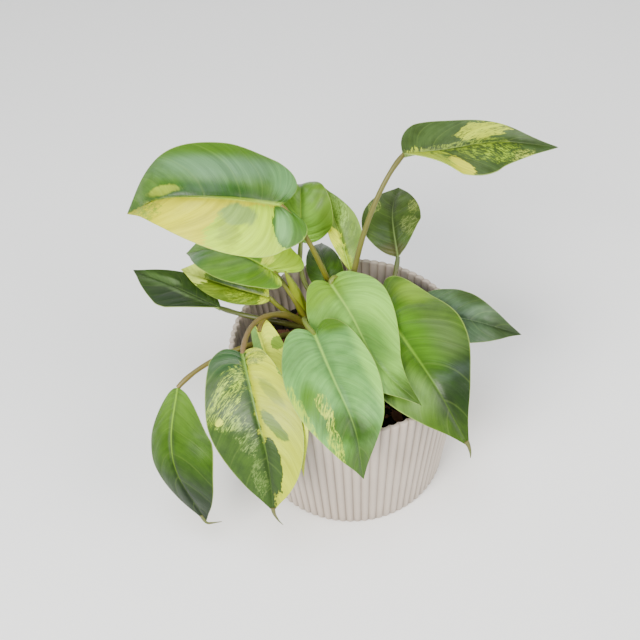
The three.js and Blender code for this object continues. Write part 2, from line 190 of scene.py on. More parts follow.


# Polypropylene, injection moulded with a fine matt grain: soft broad highlights, and painted
# shade darkens the grooves between the ribs.
def mouldedPolypropylene():
    material, tree, shader = newMaterial("mouldedPolypropylene", Roughness=0.5, IOR=1.49)
    place = addNode(tree, "ShaderNodeTexCoord").outputs["Object"]
    crest = addNode(tree, "ShaderNodeAttribute", attribute_name="crest").outputs["Fac"]
    # painted shade: the grooves between the ribs take a darker colour than the rib tops
    body = addNode(tree, "ShaderNodeMixRGB", {
        "Fac": crest, "Color1": linear(pot["grooveShadeColour"]), "Color2": linear(pot["colour"])})
    # scuffed clouds 45 mm across, and the mould's grain, drawn at 0.55 mm so that it shows
    clouds = addNode(tree, "ShaderNodeTexNoise", {
        "Vector": place, "Scale": noiseScale(45.5), "Detail": 4.0})
    worn = addNode(tree, "ShaderNodeMapRange", {
        "Value": clouds, "From Min": 0.45, "From Max": 0.75, "To Max": 0.35})
    tone = addNode(tree, "ShaderNodeMixRGB", {
        "Fac": worn, "Color1": body, "Color2": linear(pot["scuffColour"])})
    grain = addNode(tree, "ShaderNodeTexNoise", {
        "Vector": place, "Scale": noiseScale(0.555), "Detail": 2.0})
    bump = addNode(tree, "ShaderNodeBump", {"Height": grain, "Strength": 0.12, "Distance": 0.3 * mm})
    setInputs(shader, {"Base Color": tone, "Normal": bump})
    return material


def buildPot():
    height, lip, wall = pot["height"], pot["lip"], pot["wall"]
    levels = [(0, pot["footChamfer"]), (pot["footChamfer"], 0)]
    levels += [(pot["footChamfer"] + (height - lip - pot["footChamfer"]) * i / pot["bands"], 0)
               for i in range(1, pot["bands"])]
    for step in range(pot["lipSteps"] + 1):
        turn = math.pi / 2 * step / pot["lipSteps"]
        levels.append((height - lip * (1 - math.sin(turn)), lip * (1 - math.cos(turn))))
    for step in range(pot["lipSteps"], -1, -1):
        turn = math.pi / 2 * step / pot["lipSteps"]
        levels.append((height - lip * (1 - math.sin(turn)), wall - lip * (1 - math.cos(turn))))
    levels += [(height * (1 - i / pot["bands"]), wall) for i in range(1, pot["bands"] - 1)]
    levels.append((pot["floor"], wall))
    rings = [ribbedRing(z, inset) for z, inset in levels]
    points, faces = stackRings(rings, Vector((0, 0, 0)), Vector((0, 0, pot["floor"])))
    piece = newPiece("ribbedPot", points, faces, mouldedPolypropylene(), sharpAngle=45)
    crest = [abs(math.sin(math.pi * i / pot["stepsPerRib"])) ** 0.5 for i in range(len(rings[0]))]
    giveValues(piece, "crest", [1.0] + crest * len(rings) + [1.0])
    placePiece(piece, "pot", "pot")


buildPot()
print("pot built")


# Soil: a lumpy surface of peat with bark chips and crumbs lying on it
soil = {
    "level": 77, "mound": 3, "gap": 0.3, "low": 5.3, "edgeDrop": 2, "rings": 46, "sectors": 150,
    "lumps": [(9, 1.3), (3.2, 0.7)],      # size across and height of the lumps
    "chips": 120, "chipLength": (5, 12), "chipFlatness": 0.28,
    "crumbs": 900, "crumbLength": (1.2, 3.4), "crumbFlatness": 0.7, "flakePoints": 11, "seed": 5,
    "colour": "1d1510", "wetColour": "0d0907", "chipColour": "6a3522", "chipPale": "9a6a48",
}


def soilHeight(x, y):
    share = math.hypot(x, y) / (wallRadius(soil["level"]) - pot["wall"])
    height = soil["level"] + soil["mound"] * max(0, 1 - share * share)
    for across, rise in soil["lumps"]:
        height += rise * noise.noise(Vector((x / across, y / across, across)))
    return height


# Peat and composted bark: almost black where damp, matt, with a fibrous grain.
def dampPeat():
    material, tree, shader = newMaterial("dampPeat", Roughness=0.92, Specular_IOR_Level=0.25)
    place = addNode(tree, "ShaderNodeTexCoord").outputs["Object"]
    # fibres and grains of about 2.4 mm
    grain = addNode(tree, "ShaderNodeTexNoise", {
        "Vector": place, "Scale": noiseScale(2.38), "Detail": 6.0})
    tone = addNode(tree, "ShaderNodeMixRGB", {
        "Fac": grain, "Color1": linear(soil["wetColour"]), "Color2": linear(soil["colour"])})
    bump = addNode(tree, "ShaderNodeBump", {"Height": grain, "Strength": 0.8, "Distance": 1 * mm})
    setInputs(shader, {"Base Color": tone, "Normal": bump})
    return material


# Pine bark, chipped: reddish brown flakes with paler broken faces and a coarse grain.
def chippedBark():
    material, tree, shader = newMaterial("chippedBark", Roughness=0.8)
    place = addNode(tree, "ShaderNodeTexCoord").outputs["Object"]
    paleness = addNode(tree, "ShaderNodeAttribute", attribute_name="paleness").outputs["Fac"]
    # a grain of about 4 mm
    grain = addNode(tree, "ShaderNodeTexNoise", {
        "Vector": place, "Scale": noiseScale(3.85), "Detail": 5.0})
    blend = addNode(tree, "ShaderNodeMath", {0: paleness, 1: grain}, operation="MULTIPLY")
    flake = addNode(tree, "ShaderNodeMixRGB", {
        "Fac": blend, "Color1": linear(soil["colour"]), "Color2": linear(soil["chipPale"])})
    red = addNode(tree, "ShaderNodeMixRGB", {
        "Fac": 0.45, "Color1": flake, "Color2": linear(soil["chipColour"])})
    bump = addNode(tree, "ShaderNodeBump", {"Height": grain, "Strength": 0.7, "Distance": 0.6 * mm})
    setInputs(shader, {"Base Color": red, "Normal": bump})
    return material


def buildSoil():
    rings = []
    for z in (soil["low"], soil["level"] - soil["edgeDrop"]):
        radius = wallRadius(z) - pot["wall"] - soil["gap"]
        rings.append([Vector((radius * math.cos(a), radius * math.sin(a), z))
                      for a in turnAngles(soil["sectors"])])
    edge = wallRadius(soil["level"]) - pot["wall"] - soil["gap"]
    for ring in range(soil["rings"], 0, -1):
        radius = edge * ring / soil["rings"]
        circle = [(radius * math.cos(a), radius * math.sin(a)) for a in turnAngles(soil["sectors"])]
        rings.append([Vector((x, y, soilHeight(x, y))) for x, y in circle])
    points, faces = stackRings(rings, Vector((0, 0, soil["low"])), Vector((0, 0, soilHeight(0, 0))))
    placePiece(newPiece("pottingSoil", points, faces, dampPeat()), "soil", "soil")


# One rough flake: the skin round a few points scattered in an ellipsoid
def roughFlake(size, rand):
    flake = bmesh.new()
    for _ in range(soil["flakePoints"]):
        spot = Vector((rand.gauss(0, 1), rand.gauss(0, 1), rand.gauss(0, 1))).normalized()
        spot *= rand.uniform(0.8, 1)
        flake.verts.new((spot.x * size[0] / 2, spot.y * size[1] / 2, spot.z * size[2] / 2))
    hull = bmesh.ops.convex_hull(flake, input=flake.verts)
    inner = [item for item in hull["geom_interior"] if isinstance(item, bmesh.types.BMVert)]
    bmesh.ops.delete(flake, geom=inner, context="VERTS")
    flake.verts.index_update()
    points = [vertex.co.copy() for vertex in flake.verts]
    faces = [[vertex.index for vertex in face.verts] for face in flake.faces]
    flake.free()
    return points, faces


def scatterFlakes(name, count, lengths, flatness, material, rand):
    points, faces, pale = [], [], []
    reach = wallRadius(soil["level"]) - pot["wall"] - lengths[1] / 2 - 0.5
    for _ in range(count):
        radius, angle = reach * math.sqrt(rand.random()), rand.uniform(0, 2 * math.pi)
        x, y = radius * math.cos(angle), radius * math.sin(angle)
        length = rand.uniform(*lengths)
        size = (length, length * rand.uniform(0.45, 0.8), length * flatness)
        newPoints, newFaces = roughFlake(size, rand)
        turned = Matrix.Rotation(rand.uniform(0, 6.3), 3, "Z") @ Matrix.Rotation(rand.gauss(0, 0.3), 3, "X")
        place = Vector((x, y, soilHeight(x, y) + size[2] * 0.3))
        faces += [[len(points) + i for i in face] for face in newFaces]
        points += [turned @ point + place for point in newPoints]
        pale += [rand.random()] * len(newPoints)
    piece = newPiece(name, points, faces, material, sharpAngle=25)
    giveValues(piece, "paleness", pale)
    placePiece(piece, "soil")


def buildFlakes():
    rand = random.Random(soil["seed"])
    bark = chippedBark()
    scatterFlakes("barkChips", soil["chips"], soil["chipLength"], soil["chipFlatness"], bark, rand)
    scatterFlakes("soilCrumbs", soil["crumbs"], soil["crumbLength"], soil["crumbFlatness"],
                  dampPeat(), rand)


buildSoil()
buildFlakes()
print("soil built")


# Leaves: each blade is laid out on its midrib. Left and right are seen from the stalk, and
# a marking's place is given as shares: across from -1 at the left edge to 1 at the right
# edge, and along from 0 at the stalk to 1 at the tip. Every pair in a leaf's shape is for its
# left and its right half: the half width, the share of the lobe at the stalk, how far the
# widest place lies towards the tip, the fold at the midrib and the turn out to the edge in
# degrees, and the height of the edge's waves.
blade = {
    "outline": [            # along the midrib, share of the half width, where the side vein starts
        (0, 0, 0), (-0.07, 0.14, 0.02), (-0.12, 0.34, 0.035), (-0.1, 0.57, 0.055),
        (-0.01, 0.77, 0.09), (0.13, 0.92, 0.15), (0.29, 0.99, 0.24), (0.46, 0.94, 0.37),
        (0.63, 0.75, 0.52), (0.78, 0.47, 0.69), (0.9, 0.19, 0.85), (1, 0, 1),
    ],
    "widest": 0.28, "taperedBase": 0.28, "waves": 1.6,
    "rows": 90, "columns": 15, "crowding": 1.4,       # crowding draws columns to the midrib
    "thickness": 0.8, "edgeThickness": 0.45, "keel": 1.2, "keelWidth": 1.6,
    "veins": 8, "veinBow": 0.13, "veinDepth": 0.7, "ribGroove": 0.7, "ribWidth": 1.3,
    "rib": "a8c83c", "vein": "9cbc54", "under": "8aa860", "rim": "a4bc58", "shine": 0.35,
    "jagged": 5, "ragged": 0.15, "soft": 0.02,        # how a marking's edge wanders, and how soft it is
    "edgeLength": 128, "veinLength": 27,              # along half a blade's edge, and along a side vein
    "patterns": {           # size across and along the side veins, noise, and the way the seed shifts it
        "thread": {"size": (0.8, 3), "detail": 4, "roughness": 0.6, "shift": (1, 1)},
        "blotch": {"size": (4.92, 7.5), "detail": 5, "roughness": 0.6, "shift": (1, -1)},
        "streak": {"size": (0.61, 10.8), "detail": 2, "roughness": 0.5, "shift": (0, 0)},
        "pleat": {"size": (3.05, 30), "detail": 2, "roughness": 0.5, "shift": (-1, 1)},
    },
}

leaves = {
    "upperLeft": {
        "node": "blade_upper_left", "slot": "yellow_leaf", "stem": "back",
        "bend": [(-12, 34, 118), (-14, 35, 152)],
        "midrib": [(-33, 48, 169), (-62, 42, 181), (-98, 46, 181), (-124, 59, 161)],
        "face": (-0.1, -0.49, 0.87), "tipFace": (-0.27, -0.48, 0.84),
        "width": (34, 37), "lobe": (1.1, 0.9), "belly": (-0.12, 0.11),
        "fold": (10, 6), "turn": (-24, -30), "wave": (0.8, 0.7),
        "green": "4c6f26", "deep": "3f6318", "puff": 1.6, "stalk": ("686a1a", "6a6220"),
        "markings": [
            {"at": (0.1, 0.42), "size": (0.17, 0.3), "tone": "264e06", "soft": 0.5},
            # painted reflection: a bluish grey-green sheen over the right half of the blade
            {"at": (0.56, 0.36), "size": (0.27, 0.36), "tone": "5c8256", "soft": 0.5},
            {"at": (0.42, -0.02), "size": (0.3, 0.08), "tone": "5c8a50", "soft": 0.6},
            {"at": (0.92, 0.42), "size": (0.22, 0.4), "tone": "456c0e", "soft": 0.6},
            {"at": (0.13, 0.68), "size": (0.075, 0.1), "tone": "8ca024", "ragged": 0.4, "soft": 0.3},
            {"at": (-1, 0.5), "size": (1.0, 10), "tone": "c4c20c", "ragged": 0.03},
            {"at": (-0.18, 0.84), "size": (0.2, 0.17), "tone": "86a01c", "ragged": 0.6, "cover": 0.55},
            {"at": (-0.68, 0.1), "size": (0.62, 0.34), "tone": "aed20e", "ragged": 0.14},
            {"at": (-0.55, 0.33), "size": (0.3, 0.06), "tone": "93ae24", "ragged": 0.6, "soft": 0.4},
            {"at": (-0.28, 0.27), "size": (0.19, 0.1), "tone": "82a048", "ragged": 0.3, "soft": 0.25},
            {"at": (-0.34, -0.04), "size": (0.45, 0.11), "tone": "3f6a12", "ragged": 0.16},
            {"at": (-0.42, 0), "size": (0.28, 0.05), "tone": "6fa25c", "soft": 0.5},
        ],
    },
    "upperMiddle": {
        "node": "blade_upper_middle", "slot": "green_leaf", "stem": "back",
        "bend": [(-16, 36, 98), (-30, 46, 102)],
        "midrib": [(-24, 66, 124), (-23, 66, 144), (-22, 77, 158), (-22, 96, 146)],
        "face": (-0.05, -0.9, 0.4), "tipFace": (0, 0.3, 0.95),
        "width": (13, 20), "lobe": (0.4, 0.4), "belly": (0, 0),
        "fold": (12, 12), "turn": (-23, -25), "wave": (0, 0),
        "green": "6a962a", "deep": "57821c", "puff": 1.2, "stalk": ("747a28", "70802e"),
        "markings": [
            {"at": (0.3, 0.2), "size": (0.6, 0.24), "tone": "96cf48", "soft": 0.8},
            {"at": (0.85, 0.55), "size": (0.4, 0.4), "tone": "557618", "soft": 0.6},
        ],
    },
    "upperSlim": {
        "node": "blade_upper_slim", "slot": "yellow_leaf", "stem": "back",
        "bend": [(4, 36, 100), (5, 44, 106)],
        "midrib": [(5, 51, 112), (0, 68, 128), (-4, 79, 138), (-8, 91, 147)],
        "face": (0.01, -0.6, 0.8), "tipFace": (0, -0.5, 0.86),
        "width": (7, 14), "lobe": (0.2, 0.3), "belly": (0.03, 0.01),
        "fold": (17, 20), "turn": (-20, -20), "wave": (0, 0),
        "green": "74942e", "deep": "64821e", "puff": 0.6, "stalk": ("6c7222", "68782a"),
        "markings": [
            {"at": (-0.65, 0.25), "size": (0.68, 0.19), "tone": "e2ee18", "ragged": 0.4},
            {"at": (-0.4, 0.08), "size": (0.6, 0.16), "tone": "a6c21a", "ragged": 0.4, "cover": 0.7},
            {"at": (0.3, 0.62), "size": (0.4, 0.28), "tone": "98c04c", "ragged": 0.5, "cover": 0.56},
            {"at": (0.55, 0.3), "size": (0.36, 0.15), "tone": "5a7824", "ragged": 0.5, "cover": 0.6},
        ],
    },
    "upperRight": {
        "node": "blade_upper_right", "slot": "yellow_leaf", "stem": "back",
        "bend": [(4, 40, 125), (20, 46, 180)],
        "midrib": [(38, 62, 189), (62, 68, 186), (94, 72, 186), (126, 62, 186)],
        "face": (0.05, 0.34, 0.94), "tipFace": (-0.09, -0.61, 0.79),
        "width": (19, 33), "lobe": (0.4, 0.4), "belly": (-0.12, -0.02),
        "fold": (40, 14), "turn": (-22, -12), "wave": (0.6, 0.5),
        "rib": "7a9038", "green": "3e5426", "deep": "334618", "puff": 0.6, "stalk": ("6a6a2c", "625c26"),
        "markings": [
            {"at": (-0.36, 0.57), "size": (0.26, 0.14), "tone": "a8b61a", "ragged": 0.6, "cover": 0.72},
            {"at": (0.78, 0.3), "size": (0.42, 0.13), "tone": "d2d41a", "ragged": 0.35},
            {"at": (0.5, 0.12), "size": (0.58, 0.18), "tone": "adc01c", "ragged": 0.4},
            {"at": (0.3, 0.25), "size": (0.3, 0.08), "tone": "566f2a", "ragged": 0.5, "cover": 0.55},
            {"at": (0.24, 0.6), "size": (0.34, 0.22), "tone": "8fae1e", "ragged": 0.6, "cover": 0.42},
            {"at": (0.0, 0.42), "size": (0.14, 0.35), "tone": "86a02a", "ragged": 0.5, "cover": 0.5},
            {"at": (0.4, 0.84), "size": (0.28, 0.08), "tone": "a9b840", "ragged": 0.6, "cover": 0.5},
        ],
    },
    "backRound": {
        "node": "blade_back_round", "slot": "dark_leaf", "stem": "right",
        "bend": [(18, 16, 100), (31, 38, 100)],
        "midrib": [(35, 54, 118), (34, 75, 127), (36, 92, 129), (41, 109, 128)],
        "face": (-0.08, -0.5, 0.86), "tipFace": (0.02, 0.29, 0.96),
        "width": (20, 18), "lobe": (0.3, 0.2), "belly": (0.06, 0.14),
        "fold": (7, 10), "turn": (-23, -19), "wave": (0, 0),
        "rib": "6c8044", "green": "3a5014", "deep": "2e400a", "puff": 0.5, "stalk": ("7c6a24", "3a4a1c"),
        "markings": [
            {"at": (-0.6, 0.6), "size": (0.22, 0.13), "tone": "8a9a44", "ragged": 0.5, "cover": 0.48},
            {"at": (0.75, 0.62), "size": (0.25, 0.16), "tone": "7f8f3c", "ragged": 0.5, "cover": 0.5},
            {"at": (0.6, 0.3), "size": (0.38, 0.13), "tone": "6c7c3c", "ragged": 0.5, "cover": 0.5},
            {"at": (-0.2, 0.05), "size": (0.5, 0.07), "tone": "44461a", "soft": 0.7},
            {"at": (-0.35, 0.32), "size": (0.3, 0.14), "tone": "2e420c", "soft": 0.6},
        ],
    },
    "innerDark": {
        "node": "blade_inner_dark", "slot": "dark_leaf", "stem": "back",
        "bend": [(0, 35, 97), (-7, 38, 99)],
        "midrib": [(-7, 46, 102), (-10, 60, 107), (-12, 76, 107), (-11, 93, 99)],
        "face": (0, -0.5, 0.86), "tipFace": (0, -0.3, 0.95),
        "width": (12, 11), "lobe": (0.7, 0.7), "belly": (0, 0),
        "fold": (12, 12), "turn": (-25, -25), "wave": (0, 0),
        "rib": "6f8a30", "green": "3a5a0a", "deep": "2f4a06", "puff": 0.5, "stalk": ("56600f", "4a5a10"),
        "markings": [],
    },
    "centre": {
        "node": "blade_centre", "slot": "pale_leaf", "stem": "back",
        "bend": [(2, 34, 118), (-6, 30, 134)],
        "midrib": [(-8, 25, 127), (2, -3, 129), (14, -38, 126), (35, -63, 118)],
        "face": (-0.05, -0.58, 0.81), "tipFace": (0.25, -0.24, 0.94),
        "width": (28, 24), "lobe": (0.7, 0.9), "belly": (-0.09, -0.01),
        "fold": (-9, -7), "turn": (-17, -9), "wave": (1.1, 1.1),
        "rib": "9cc84a", "green": "79ae42", "deep": "6a9c3a", "puff": 1.1, "stalk": ("666a1a", "70802c"),
        "markings": [
            {"at": (-0.6, 0.4), "size": (0.5, 0.3), "tone": "90cc4c", "soft": 0.8},
            {"at": (0.3, 0.02), "size": (0.6, 0.14), "tone": "6f9a22", "soft": 0.6},
            {"at": (0.55, 0.3), "size": (0.3, 0.12), "tone": "628d31", "soft": 0.6},
            {"at": (-0.2, 0.53), "size": (0.3, 0.15), "tone": "578630", "soft": 0.7},
            {"at": (0, 0.96), "size": (0.6, 0.14), "tone": "45651a", "soft": 0.6},
        ],
    },
    "front": {
        "node": "blade_front", "slot": "pale_leaf", "stem": "left",
        "bend": [(-24, 18, 110), (-28, 2, 124)],
        "midrib": [(-19, -17, 129), (-11, -50, 132), (-1, -77, 120), (2, -89, 92)],
        "face": (0, -0.52, 0.86), "tipFace": (0.43, -0.54, 0.72),
        "width": (26, 26), "lobe": (0.9, 0.9), "belly": (-0.01, 0.04),
        "fold": (-1, 2), "turn": (-19, -23), "wave": (0, 0),
        "rib": "9cd04c", "green": "6aa34e", "deep": "5d9344", "puff": 1.1, "stalk": ("6c7024", "74862c"),
        "markings": [
            {"at": (-0.9, 0.35), "size": (0.2, 0.4), "tone": "8ccc54", "soft": 0.6},
            {"at": (0, 0.93), "size": (0.75, 0.2), "tone": "3c6010", "soft": 0.6},
            {"at": (0.12, 0.65), "size": (0.55, 0.1), "slant": -8, "tone": "33580c", "soft": 0.5},
            {"at": (0.6, 0.44), "size": (0.22, 0.1), "tone": "4b7616", "soft": 0.6},
            {"at": (-0.45, -0.05), "size": (0.5, 0.07), "tone": "487010", "soft": 0.5},
            {"at": (0.42, 0.5), "size": (0.14, 0.1), "tone": "b9cc28", "ragged": 0.6, "cover": 0.5},
            {"at": (0.48, 0.76), "size": (0.15, 0.18), "tone": "a8c228", "ragged": 0.6, "cover": 0.52},
            {"at": (0.92, 0.56), "size": (0.15, 0.25), "tone": "a5c424", "ragged": 0.5, "cover": 0.6},
        ],
    },
    "rightBroad": {
        "node": "blade_right_broad", "slot": "green_leaf", "stem": "right",
        "bend": [(13, 8, 112), (16, 6, 128)],
        "midrib": [(22, 8, 119), (33, -21, 119), (45, -49, 115), (61, -70, 88)],
        "face": (0.36, -0.4, 0.84), "tipFace": (0.08, -0.63, 0.77),
        "width": (36, 36), "lobe": (1.5, 0.9), "belly": (-0.07, 0.01),
        "fold": (14, 1), "turn": (-12, -3), "wave": (1.5, 0),
        "drip": [(59.5, -68.4, 91), (60.9, -69.8, 88), (61.9, -70.8, 83.5), (62.2, -71.2, 79)],
        "rib": "7fae2c", "green": "46680e", "deep": "3c5a0a", "puff": 1.3, "stalk": ("666a1a", "5a7420"),
        "markings": [
            {"at": (-0.5, 0.72), "size": (0.7, 0.24), "tone": "162c05", "soft": 0.6},
            {"at": (-0.5, 0.36), "size": (0.32, 0.18), "tone": "526c34", "soft": 0.7},
            {"at": (0.35, 0.62), "size": (0.32, 0.12), "tone": "5f8434", "soft": 0.6},
            {"at": (-0.75, -0.08), "size": (0.4, 0.1), "tone": "71961a", "soft": 0.6},
            {"at": (-0.1, 0.25), "size": (0.3, 0.28), "tone": "4a7a06", "soft": 0.8},
        ],
    },
    "rightDark": {
        "node": "blade_right_dark", "slot": "dark_leaf", "stem": "right",
        "bend": [(20, 14, 102), (34, 22, 110)],
        "midrib": [(45, 20, 110), (61, 9, 110), (79, 2, 109), (104, 4, 94)],
        "face": (0.19, -0.26, 0.95), "tipFace": (0.42, -0.48, 0.77),
        "width": (19, 19), "lobe": (0.5, 0.6), "belly": (-0.01, 0),
        "fold": (13, 14), "turn": (-22, -23), "wave": (0.1, 0),
        "rib": "6a8452", "green": "4c6644", "deep": "405736", "puff": 0.9, "stalk": ("62642a", "566026"),
        "markings": [
            {"at": (-0.85, 0.6), "size": (0.3, 0.35), "tone": "2f4418", "soft": 0.6},
            {"at": (0.1, 0.92), "size": (0.6, 0.2), "tone": "2c4216", "soft": 0.6},
        ],
    },
    "leftDark": {
        "node": "blade_left_dark", "slot": "dark_leaf", "stem": "left",
        "bend": [(-36, 16, 106), (-55, 12, 114)],
        "midrib": [(-75, 30, 108), (-97, 47, 107), (-110, 57, 106), (-133, 73, 104)],
        "face": (-0.14, 0.12, 0.98), "tipFace": (-0.31, -0.31, 0.9),
        "width": (20, 12), "lobe": (0.2, 0.2), "belly": (0.08, 0.05),
        "fold": (27, 13), "turn": (-22, -23), "wave": (0, 0),
        "rib": "5f7a40", "green": "2c430e", "deep": "1f3706", "puff": 0.8, "stalk": ("545220", "3e4a18"),
        "markings": [
            {"at": (-0.6, 0.4), "size": (0.4, 0.3), "tone": "142c04", "soft": 0.6},
            {"at": (-0.12, 0.35), "size": (0.12, 0.25), "tone": "566f3c", "soft": 0.6},
            {"at": (0.2, 0.6), "size": (0.13, 0.14), "tone": "566c42", "ragged": 0.3, "soft": 0.4},
            {"at": (0, 0.74), "size": (0.22, 0.16), "tone": "4a6630", "soft": 0.6},
        ],
    },
    "leftGreen": {
        "node": "blade_left_green", "slot": "green_leaf", "stem": "left",
        "bend": [(-27, 25, 108), (-33, 27, 124)],
        "midrib": [(-41, 36, 129), (-57, 48, 131), (-79, 64, 126), (-99, 82, 107)],
        "face": (0.06, -0.2, 0.98), "tipFace": (-0.2, -0.47, 0.86),
        "width": (23, 25), "lobe": (1.1, 1.2), "belly": (0.01, 0),
        "fold": (27, 6), "turn": (-28, -28), "wave": (0, 0),
        "rib": "9cc42c", "green": "5f8a28", "deep": "507c1a", "puff": 1.2, "stalk": ("6c6a1c", "788028"),
        "markings": [
            {"at": (-0.45, 0.78), "size": (0.4, 0.17), "tone": "2e6408", "soft": 0.6},
            {"at": (-0.5, 0.05), "size": (0.35, 0.1), "tone": "50780c", "soft": 0.6},
            {"at": (0.35, 0.02), "size": (0.55, 0.18), "tone": "9ec41c", "ragged": 0.3, "soft": 0.3},
            {"at": (-0.1, -0.12), "size": (0.25, 0.06), "tone": "b9dc20", "soft": 0.5},
            {"at": (0.2, 0.14), "size": (0.18, 0.06), "tone": "cbe040", "ragged": 0.5, "soft": 0.2},
        ],
    },
    "leftYellow": {
        "node": "blade_left_yellow", "slot": "yellow_leaf", "stem": "left",
        "bend": [(-30, 26, 98), (-39, 27, 106)],
        "midrib": [(-45, 29, 115), (-66, 38, 116), (-84, 50, 114), (-101, 64, 110)],
        "face": (-0.09, -0.18, 0.98), "tipFace": (-0.19, -0.49, 0.85),
        "width": (11, 22), "lobe": (0.5, 0.2), "belly": (0.01, 0.01),
        "fold": (13, 12), "turn": (-19, -25), "wave": (0, 0),
        "rib": "8aa032", "green": "647e1a", "deep": "567012", "puff": 1.0, "stalk": ("6c6a1c", "788028"),
        "markings": [
            {"at": (-0.1, 0.86), "size": (0.6, 0.2), "tone": "c8de54", "ragged": 0.4},
            {"at": (-0.6, 0.55), "size": (0.4, 0.12), "tone": "788f1e", "ragged": 0.5, "cover": 0.5},
            {"at": (-0.3, -0.02), "size": (0.7, 0.09), "tone": "bacd24", "ragged": 0.4},
            {"at": (-0.4, 0.26), "size": (0.6, 0.16), "tone": "9cb62a", "ragged": 0.6, "cover": 0.42},
            {"at": (0.05, 0.42), "size": (0.14, 0.3), "tone": "2e4c06", "soft": 0.6},
        ],
    },
    "frontLeft": {
        "node": "blade_front_left", "slot": "yellow_leaf", "stem": "left",
        "bend": [(-32, 20, 112), (-57, 14, 126)],
        "midrib": [(-59, -27, 128), (-53, -56, 111), (-49, -72, 92), (-48, -88, 65)],
        "face": (-0.28, -0.42, 0.87), "tipFace": (-0.36, -0.89, 0.29),
        "width": (24, 30), "lobe": (0.5, 0.7), "belly": (0.13, 0.1),
        "fold": (-1, 12), "turn": (-4, -17), "wave": (0.7, 0.8),
        "drip": [(-48.2, -87, 67), (-47.6, -88.4, 63), (-45.9, -88.8, 57), (-43.6, -88.4, 51)],
        "rib": "6f9430", "green": "34510e", "deep": "27410a", "puff": 0.7, "stalk": ("6c681e", "7c6240"),
        "markings": [
            {"at": (0.4, 0), "size": (0.5, 0.08), "tone": "1d440a", "soft": 0.4},
            {"at": (0.46, 0.2), "size": (0.52, 0.11), "slant": 14, "tone": "9ab81e",
             "ragged": 0.6, "cover": 0.46},
            {"at": (0.28, 0.48), "size": (0.24, 0.17), "tone": "6f8a3e", "ragged": 0.7, "cover": 0.44},
            {"at": (0.18, 0.78), "size": (0.16, 0.13), "tone": "5f7a34", "ragged": 0.6, "cover": 0.5},
            {"at": (0.72, 0.33), "size": (0.08, 0.022), "tone": "c0cc28", "ragged": 0.7},
            {"at": (0.5, 0.36), "size": (0.35, 0.06), "tone": "8aa834", "ragged": 0.6, "cover": 0.42},
            {"at": (-1.05, 0.45), "size": (1.05, 1.2), "tone": "aeba06", "ragged": 0.08},
            {"at": (-0.14, 0.7), "size": (0.2, 0.19), "tone": "2a440a", "ragged": 0.3},
            {"at": (-0.36, 0.44), "size": (0.27, 0.065), "slant": -24, "tone": "5f7a20",
             "ragged": 0.3, "soft": 0.1},
            {"at": (-0.45, 0.23), "size": (0.25, 0.05), "slant": -20, "tone": "8c9c24",
             "ragged": 0.4, "soft": 0.2},
            {"at": (-0.87, 0.13), "size": (0.14, 0.06), "tone": "5f8108", "ragged": 0.5},
            {"at": (-0.3, 0.03), "size": (0.28, 0.05), "tone": "66781a", "ragged": 0.6, "cover": 0.6},
        ],
    },
    "frontHidden": {
        "node": "blade_front_hidden", "slot": "yellow_leaf", "stem": "left",
        "bend": [(-30, 20, 112), (-50, 18, 118)],
        "midrib": [(-51, 3, 113), (-44, -25, 110), (-33, -61, 110), (-30, -76, 79)],
        "face": (0, -0.2, 0.97), "tipFace": (-0.3, -0.8, 0.3),
        "width": (12, 7), "lobe": (0.8, 0.8), "belly": (0, 0),
        "fold": (7, 0), "turn": (-8, -8), "wave": (0, 0),
        "rib": "a8bc2c", "green": "76a04c", "deep": "688e40", "puff": 0.5, "stalk": ("6c6a1e", "806c30"),
        "markings": [
            {"at": (-0.5, 0.4), "size": (0.68, 10), "tone": "ecfa44", "ragged": 0.08},
            {"at": (-0.7, 0.14), "size": (0.34, 0.06), "tone": "85a72e", "ragged": 0.35},
        ],
    },
    "farLeft": {
        "node": "blade_far_left", "slot": "green_leaf", "stem": "left",
        "bend": [(-42, 8, 102), (-78, -13, 118)],
        "midrib": [(-99, -26, 102), (-104, -48, 85), (-102, -62, 66), (-91, -68, 27)],
        "face": (-0.51, -0.19, 0.84), "tipFace": (-0.36, -0.89, 0.26),
        "width": (27, 19), "lobe": (0.3, 0.3), "belly": (0.12, 0.11),
        "fold": (6, 1), "turn": (-29, -28), "wave": (0.5, 0.2),
        "drip": [(-93.5, -66.6, 32), (-90.9, -68.2, 26), (-86.8, -68.4, 25.6), (-81.7, -68, 25.6)],
        "shine": 0.15, "rib": "8ab82c", "green": "3b5c10", "deep": "304e09",
        "puff": 0.8, "stalk": ("686226", "74662c"),
        "markings": [
            {"at": (0, 0.02), "size": (0.9, 0.22), "tone": "587c28", "soft": 0.8},
            {"at": (0, 0.92), "size": (1.3, 0.32), "tone": "122604", "soft": 0.7},
        ],
    },
}


# A smooth curve through the points at an even pace
def throughPoints(points, share):
    last = len(points) - 1
    index = min(int(share * last), last - 1)
    t = share * last - index
    start, end = points[index], points[index + 1]
    before = points[index - 1] if index > 0 else 2 * start - end
    after = points[index + 2] if index + 2 <= last else 2 * end - start
    leave, arrive = (end - before) / 2, (after - start) / 2
    bow = 3 * (end - start) - 2 * leave - arrive
    twist = 2 * (start - end) + leave + arrive
    return start + t * (leave + t * (bow + t * twist))


outlinePoints = [Vector(point) for point in blade["outline"]]


# Place, direction, upper side and right hand of the midrib, also behind the stalk
def midribFrame(leaf, share):
    points = [Vector(point) for point in leaf["midrib"]]
    held = min(max(share, 0), 1)
    step = 0.0001
    ahead = throughPoints(points, min(held + step, 1))
    along = (ahead - throughPoints(points, max(held - step, 0))).normalized()
    length = sum((points[i] - points[i - 1]).length for i in range(1, len(points)))
    place = throughPoints(points, held) + along * (share - held) * length
    up = Vector(leaf["face"]).lerp(Vector(leaf["tipFace"]), held)
    up = (up - along * up.dot(along)).normalized()
    return place, along, up, along.cross(up)


# A belly moves the widest part of a half towards the tip
def bellied(share, belly):
    return share + 4 * belly * share * (1 - share) if share > 0 else share


